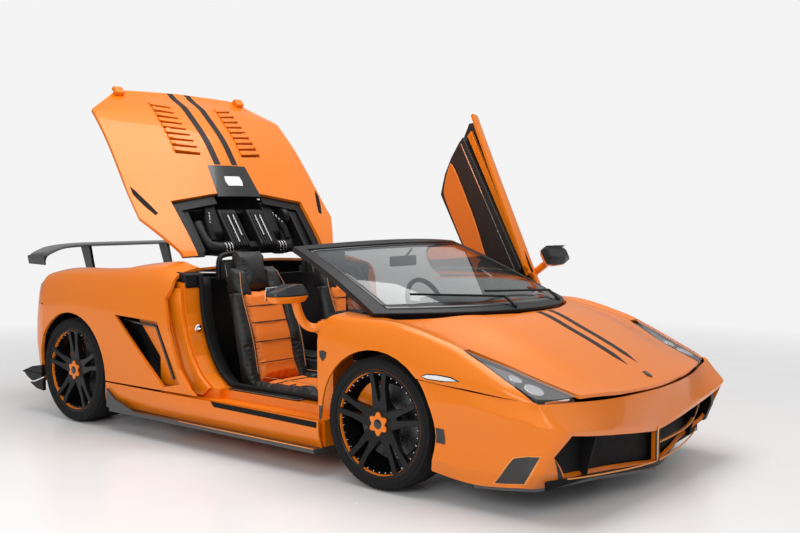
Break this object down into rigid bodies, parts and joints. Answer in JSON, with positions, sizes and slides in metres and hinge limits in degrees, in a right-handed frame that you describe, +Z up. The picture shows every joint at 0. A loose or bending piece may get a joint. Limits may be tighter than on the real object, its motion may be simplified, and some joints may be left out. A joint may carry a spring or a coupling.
{
  "type": "open two-seat sports car with raised scissor door",
  "caption": "Open mid-engined sports car in orange and black, its left door swung up and its engine cover raised; the right door is missing.",
  "frame": {"origin": "on the ground, midway along the car, on its middle plane", "axes": "+X forward, +Y to the car's left, +Z up"},
  "size_m": [4.41, 2.3114, 2.1722],
  "materials": {
    "paint": "gloss clear-coated orange",
    "carbon": "lacquered dark woven sheet",
    "satin_black": "satin black",
    "engine_black": "ribbed moulded black",
    "mesh_black": "fine dark mesh",
    "dark_leather": "black grained leather",
    "seat_leather": "black leather with an orange middle",
    "clear_glass": "clear laminated glass",
    "lens": "clear lamp cover",
    "lens_red": "red lamp cover",
    "cast_metal": "cast and satin",
    "pipe_metal": "brushed",
    "arm_metal": "forged and satin",
    "rim_black": "gloss black with an orange ring",
    "tyre": "matt rubber",
    "disc_metal": "machined",
    "caliper_paint": "dark gloss enamel"
  },
  "bodies": {
    "shell": {"console": "carbon", "dashboard": "dark_leather", "diffuser": "carbon", "engine_bay": "satin_black", "engine_block": "cast_metal", "exhausts": "pipe_metal", "fender_left": "paint", "fender_right": "paint", "floor_pan": "satin_black", "footwell": "satin_black", "frame_rails": "satin_black", "front_bumper": "paint", "grilles": "mesh_black", "headlamp_lenses": "lens", "lower_lips": "carbon", "luggage_tub": "satin_black", "mirror_right": "paint", "quarter_left": "paint", "quarter_right": "paint", "rear_bumper": "paint", "rear_calipers": "caliper_paint", "rear_carriers": "arm_metal", "rear_view_mirror": "satin_black", "rear_wing": "carbon", "roll_hoops": "satin_black", "seat_left": "seat_leather", "seat_right": "seat_leather", "side_intakes": "carbon", "side_sills": "paint", "side_structure": "paint", "steering_wheel": "dark_leather", "suspension": "arm_metal", "tail_deck": "paint", "tail_lamps": "lens_red", "windscreen_frame": "satin_black", "windscreen_glass": "clear_glass", "wipers": "satin_black"},
    "cover": {"engine_cover": "paint", "cover_panel": "carbon", "intake_plenums": "engine_black"},
    "door": {"door_left": "paint", "door_left_trim": "dark_leather", "mirror_left": "paint"},
    "lid": {"front_lid": "paint"},
    "steered_left": {"knuckle_left": "arm_metal", "caliper_left": "caliper_paint"},
    "wheel_front_left": {"tyre_front_left": "tyre", "rim_front_left": "rim_black", "disc_front_left": "disc_metal"},
    "wheel_rear_left": {"tyre_rear_left": "tyre", "rim_rear_left": "rim_black", "disc_rear_left": "disc_metal"},
    "steered_right": {"knuckle_right": "arm_metal", "caliper_right": "caliper_paint"},
    "wheel_front_right": {"tyre_front_right": "tyre", "rim_front_right": "rim_black", "disc_front_right": "disc_metal"},
    "wheel_rear_right": {"tyre_rear_right": "tyre", "rim_rear_right": "rim_black", "disc_rear_right": "disc_metal"}
  },
  "joints": [
    {"name": "steer_left", "type": "hinge", "parent": "shell", "child": "steered_left", "pos_m": [1.18, 0.737, 0.325], "axis": [0, 0, 1], "range_deg": [-27, 27]},
    {"name": "spin_front_left", "type": "hinge", "parent": "steered_left", "child": "wheel_front_left", "pos_m": [1.18, 0.812, 0.325], "axis": [0, 1, 0], "continuous": true},
    {"name": "spin_rear_left", "type": "hinge", "parent": "shell", "child": "wheel_rear_left", "pos_m": [-1.38, 0.79, 0.332], "axis": [0, 1, 0], "continuous": true},
    {"name": "steer_right", "type": "hinge", "parent": "shell", "child": "steered_right", "pos_m": [1.18, -0.737, 0.325], "axis": [0, 0, 1], "range_deg": [-27, 27]},
    {"name": "spin_front_right", "type": "hinge", "parent": "steered_right", "child": "wheel_front_right", "pos_m": [1.18, -0.812, 0.325], "axis": [0, 1, 0], "continuous": true},
    {"name": "spin_rear_right", "type": "hinge", "parent": "shell", "child": "wheel_rear_right", "pos_m": [-1.38, -0.79, 0.332], "axis": [0, 1, 0], "continuous": true},
    {"name": "door_swing", "type": "hinge", "parent": "shell", "child": "door", "pos_m": [0.95, 0.87, 0.7], "axis": [0.1515, 0.9589, -0.2397], "range_deg": [-58, 0]},
    {"name": "cover_swing", "type": "hinge", "parent": "shell", "child": "cover", "pos_m": [-0.545, 0, 1.078], "axis": [0, 1, 0], "range_deg": [-57, 0]},
    {"name": "lid_swing", "type": "hinge", "parent": "shell", "child": "lid", "pos_m": [1.184, 0, 0.802], "axis": [0, -1, 0], "range_deg": [0, 46]}
  ],
  "couplings": [
    {"joint": "steer_right", "follows": "steer_left", "ratio": 1}
  ]
}
